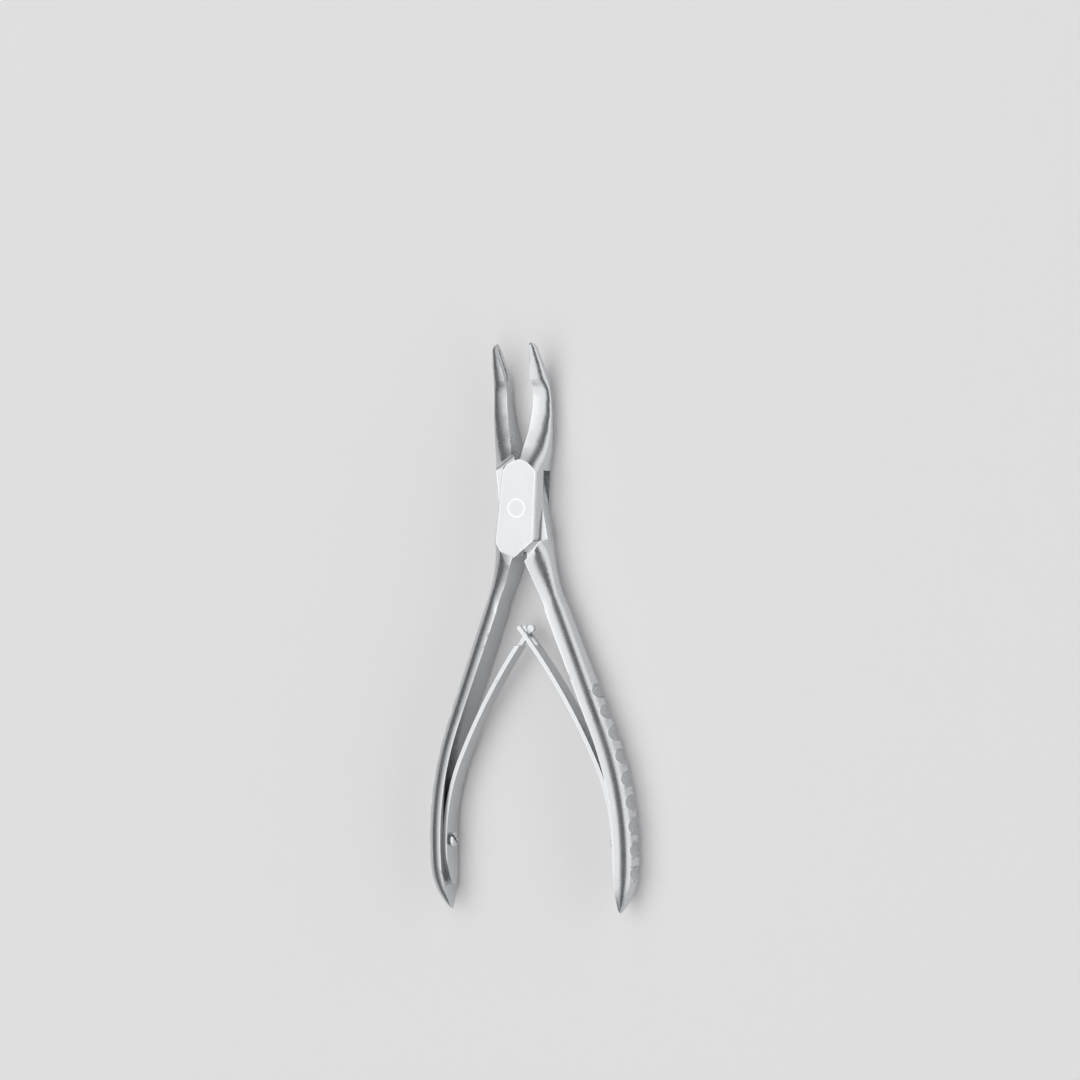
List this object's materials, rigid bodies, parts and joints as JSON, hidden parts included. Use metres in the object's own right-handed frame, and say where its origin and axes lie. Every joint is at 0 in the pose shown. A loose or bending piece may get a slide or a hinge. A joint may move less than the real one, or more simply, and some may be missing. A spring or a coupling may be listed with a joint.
{
  "type": "bone rongeur",
  "caption": "Hand-held bone rongeur: cupped cutting jaws bent upward, box joint, bowed handles with finger pits, held open by interlocked leaf springs.",
  "frame": {"origin": "on the pivot's axis, in the flat back face of the box joint that the tool lies on", "axes": "+X to the tool's right as seen from the front, +Y from the pivot towards the jaws, +Z along the pivot's axis, out of the front face"},
  "size_m": [0.0564, 0.1406, 0.0092],
  "materials": {
    "satin_steel": "satin stainless steel with polished edges",
    "spring_steel": "fine satin spring steel",
    "polished_steel": "polished stainless steel"
  },
  "bodies": {
    "box_half": {"box_half": "satin_steel", "pivot_pin": "polished_steel", "left_spring": "spring_steel", "left_spring_screw": "polished_steel"},
    "tongue_half": {"tongue_half": "satin_steel", "right_spring": "spring_steel", "right_spring_screw": "polished_steel"}
  },
  "joints": [
    {"name": "jaw_pivot", "type": "hinge", "parent": "box_half", "child": "tongue_half", "pos_m": [0, 0, 0], "axis": [0, 0, -1], "range_deg": [0, 12.7], "stiffness_Nm_per_rad": 4, "deforming": ["left_spring", "right_spring"]}
  ]
}
